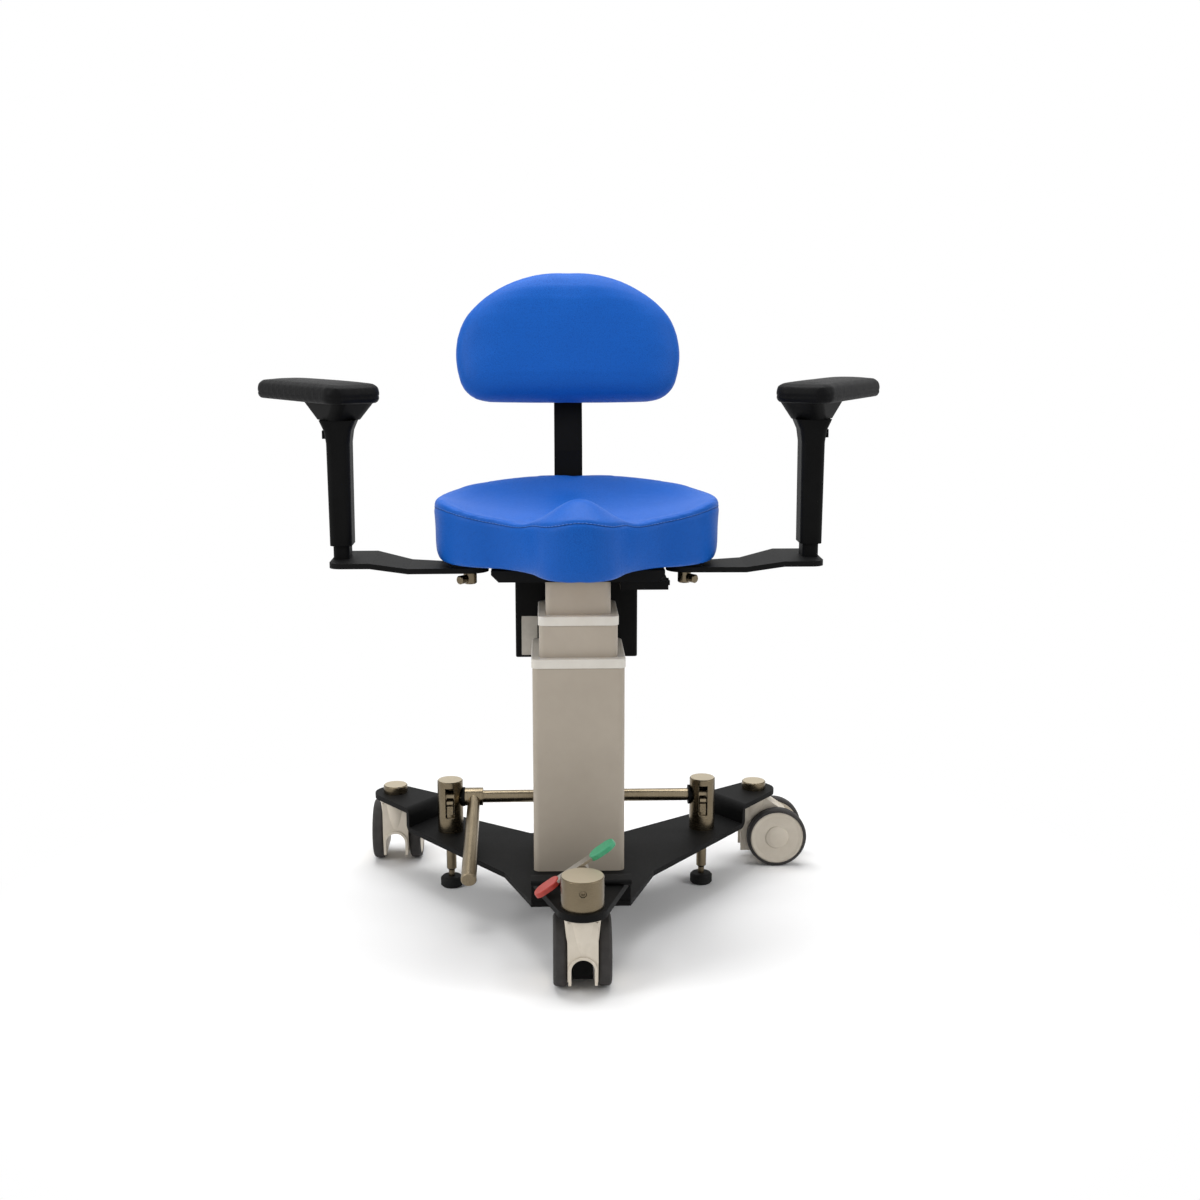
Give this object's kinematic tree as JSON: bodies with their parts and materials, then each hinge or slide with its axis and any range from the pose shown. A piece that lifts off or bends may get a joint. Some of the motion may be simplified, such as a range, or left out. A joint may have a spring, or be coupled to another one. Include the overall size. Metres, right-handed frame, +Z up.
{
  "type": "dental operator chair",
  "caption": "Powered operator chair with saddle seat, half-moon backrest, adjustable armrests, telescopic lift column, castored base with caster lock pedal and lever-worked floor brake.",
  "frame": {"origin": "on the floor, in the middle of the chair's bounding box; the lift column's axis stands a few millimetres beside it", "axes": "+Z up; -Y towards the front of the seat; +X towards the right of the picture, which is the sitter's left hand side"},
  "size_m": [0.9644, 0.637, 0.9849],
  "materials": {
    "black_steel": "fine matt powder coat",
    "satin_steel": "satin turned stainless steel",
    "grey_aluminium": "painted or anodised, satin",
    "motor_casting": "as cast",
    "pale_plastic": "moulded, slight sheen",
    "tyre_grey": "soft moulded tread",
    "black_rubber": "moulded",
    "black_plastic": "fine texture",
    "red_plastic": "moulded",
    "green_plastic": "moulded",
    "blue_vinyl": "grained upholstery vinyl over foam",
    "black_vinyl": "soft skinned foam",
    "plywood": "birch plywood"
  },
  "bodies": {
    "base": {"base_plate": "black_steel", "front_arm_plate": "black_steel", "front_stem_socket": "satin_steel", "rear_caster_bolts": "satin_steel", "column_outer_tube": "grey_aluminium", "column_outer_collar": "pale_plastic", "lift_motor": "motor_casting", "brake_housings": "satin_steel", "brake_bushes": "black_plastic"},
    "spindle": {"lift_spindle": "satin_steel"},
    "brake_shaft": {"brake_cross_rod": "satin_steel", "brake_lever": "satin_steel"},
    "left_brake": {"left_plunger": "satin_steel", "left_brake_foot": "black_rubber"},
    "right_brake": {"right_plunger": "satin_steel", "right_brake_foot": "black_rubber"},
    "front_swivel": {"front_caster_hood": "pale_plastic", "front_caster_lock_block": "black_plastic"},
    "front_wheels": {"front_caster_tyres": "tyre_grey", "front_caster_discs": "pale_plastic"},
    "left_swivel": {"left_caster_hood": "pale_plastic", "left_caster_axle": "satin_steel"},
    "left_wheels": {"left_caster_tyres": "tyre_grey", "left_caster_discs": "pale_plastic"},
    "right_swivel": {"right_caster_hood": "pale_plastic", "right_caster_axle": "satin_steel"},
    "right_wheels": {"right_caster_tyres": "tyre_grey", "right_caster_discs": "pale_plastic"},
    "pedal": {"pedal_strip": "satin_steel", "pedal_red_pad": "red_plastic", "pedal_green_pad": "green_plastic"},
    "column_middle": {"column_middle_tube": "grey_aluminium", "column_middle_collar": "pale_plastic"},
    "seat_frame": {"column_inner_tube": "grey_aluminium", "seat_carrier": "black_steel", "seat_pan": "plywood", "seat_cushion": "blue_vinyl", "control_box": "black_steel", "battery_pack": "black_plastic", "switch_box": "black_plastic", "back_bar": "black_steel", "arm_pivot_pins": "satin_steel", "arm_clamp_screws": "satin_steel"},
    "rocker": {"height_rocker": "black_plastic"},
    "backrest": {"back_bracket": "black_steel", "back_board": "black_plastic", "back_cushion": "blue_vinyl"},
    "knob": {"back_knob": "black_plastic"},
    "left_arm": {"left_arm_bar": "black_steel", "left_arm_post": "black_steel"},
    "left_sleeve": {"left_arm_sleeve": "black_plastic"},
    "left_button": {"left_arm_button": "black_plastic"},
    "left_rest": {"left_arm_pad_support": "black_plastic", "left_arm_pad": "black_vinyl"},
    "right_arm": {"right_arm_bar": "black_steel", "right_arm_post": "black_steel"},
    "right_sleeve": {"right_arm_sleeve": "black_plastic"},
    "right_button": {"right_arm_button": "black_plastic"},
    "right_rest": {"right_arm_pad_support": "black_plastic", "right_arm_pad": "black_vinyl"}
  },
  "joints": [
    {"name": "column_lower", "type": "slide", "parent": "base", "child": "column_middle", "axis": [0, 0, 1], "range_m": [-0.04, 0.06]},
    {"name": "column_upper", "type": "slide", "parent": "column_middle", "child": "seat_frame", "axis": [0, 0, 1], "range_m": [-0.04, 0.06]},
    {"name": "spindle_spin", "type": "hinge", "parent": "base", "child": "spindle", "pos_m": [0.0055, 0.0075, 0.095], "axis": [0, 0, 1], "continuous": true},
    {"name": "brake_turn", "type": "hinge", "parent": "base", "child": "brake_shaft", "pos_m": [0.0055, 0.1255, 0.151], "axis": [-1, 0, 0], "range_deg": [0, 50]},
    {"name": "left_brake_slide", "type": "slide", "parent": "base", "child": "left_brake", "axis": [0, 0, 1], "range_m": [0, 0.012]},
    {"name": "right_brake_slide", "type": "slide", "parent": "base", "child": "right_brake", "axis": [0, 0, 1], "range_m": [0, 0.012]},
    {"name": "front_swivel_turn", "type": "hinge", "parent": "base", "child": "front_swivel", "pos_m": [0.0055, -0.2825, 0.118], "axis": [0, 0, 1], "continuous": true},
    {"name": "front_wheel_roll", "type": "hinge", "parent": "front_swivel", "child": "front_wheels", "pos_m": [0.0055, -0.2465, 0.05], "axis": [1, 0, 0], "continuous": true},
    {"name": "left_swivel_turn", "type": "hinge", "parent": "base", "child": "left_swivel", "pos_m": [-0.2975, 0.2325, 0.118], "axis": [0, 0, 1], "continuous": true},
    {"name": "left_wheel_roll", "type": "hinge", "parent": "left_swivel", "child": "left_wheels", "pos_m": [-0.2975, 0.2685, 0.05], "axis": [1, 0, 0], "continuous": true},
    {"name": "right_swivel_turn", "type": "hinge", "parent": "base", "child": "right_swivel", "pos_m": [0.3085, 0.2325, 0.118], "axis": [0, 0, 1], "continuous": true},
    {"name": "right_wheel_roll", "type": "hinge", "parent": "right_swivel", "child": "right_wheels", "pos_m": [0.3445, 0.2325, 0.05], "axis": [0, 1, 0], "continuous": true},
    {"name": "pedal_turn", "type": "hinge", "parent": "base", "child": "pedal", "pos_m": [0.0055, -0.2425, 0.164], "axis": [0, 1, 0], "range_deg": [0, 70]},
    {"name": "rocker_turn", "type": "hinge", "parent": "seat_frame", "child": "rocker", "pos_m": [0.1375, -0.0175, 0.528], "axis": [0, 0, 1], "range_deg": [-5, 5], "stiffness_Nm_per_rad": 0.2},
    {"name": "backrest_slide", "type": "slide", "parent": "seat_frame", "child": "backrest", "axis": [0, 0.2079, 0.9781], "range_m": [-0.03, 0.03]},
    {"name": "knob_turn", "type": "hinge", "parent": "backrest", "child": "knob", "pos_m": [-0.0045, 0.24888, 0.87318], "axis": [0, 0.9781, -0.2079], "continuous": true},
    {"name": "left_arm_swing", "type": "hinge", "parent": "seat_frame", "child": "left_arm", "pos_m": [-0.1545, 0.0025, 0.551], "axis": [0, 0, -1], "range_deg": [-20, 10]},
    {"name": "left_sleeve_lift", "type": "slide", "parent": "left_arm", "child": "left_sleeve", "axis": [0, 0, 1], "range_m": [-0.018, 0.06]},
    {"name": "left_button_press", "type": "slide", "parent": "left_sleeve", "child": "left_button", "axis": [1, 0, 0], "range_m": [0, 0.004], "stiffness_N_per_m": 400},
    {"name": "left_pad_swivel", "type": "hinge", "parent": "left_sleeve", "child": "left_rest", "pos_m": [-0.3465, 0.0375, 0.751], "axis": [0, 0, 1], "range_deg": [-60, 15]},
    {"name": "right_arm_swing", "type": "hinge", "parent": "seat_frame", "child": "right_arm", "pos_m": [0.1655, 0.0025, 0.551], "axis": [0, 0, 1], "range_deg": [-20, 10]},
    {"name": "right_sleeve_lift", "type": "slide", "parent": "right_arm", "child": "right_sleeve", "axis": [0, 0, 1], "range_m": [-0.018, 0.06]},
    {"name": "right_button_press", "type": "slide", "parent": "right_sleeve", "child": "right_button", "axis": [-1, 0, 0], "range_m": [0, 0.004], "stiffness_N_per_m": 400},
    {"name": "right_pad_swivel", "type": "hinge", "parent": "right_sleeve", "child": "right_rest", "pos_m": [0.3575, 0.0375, 0.751], "axis": [0, 0, -1], "range_deg": [-60, 15]}
  ],
  "couplings": [
    {"joint": "column_upper", "follows": "column_lower", "ratio": 1},
    {"joint": "left_brake_slide", "follows": "brake_turn", "m_per_rad": 0.013751},
    {"joint": "right_brake_slide", "follows": "brake_turn", "m_per_rad": 0.013751},
    {"joint": "spindle_spin", "follows": "column_lower", "rad_per_m": 628.32}
  ]
}
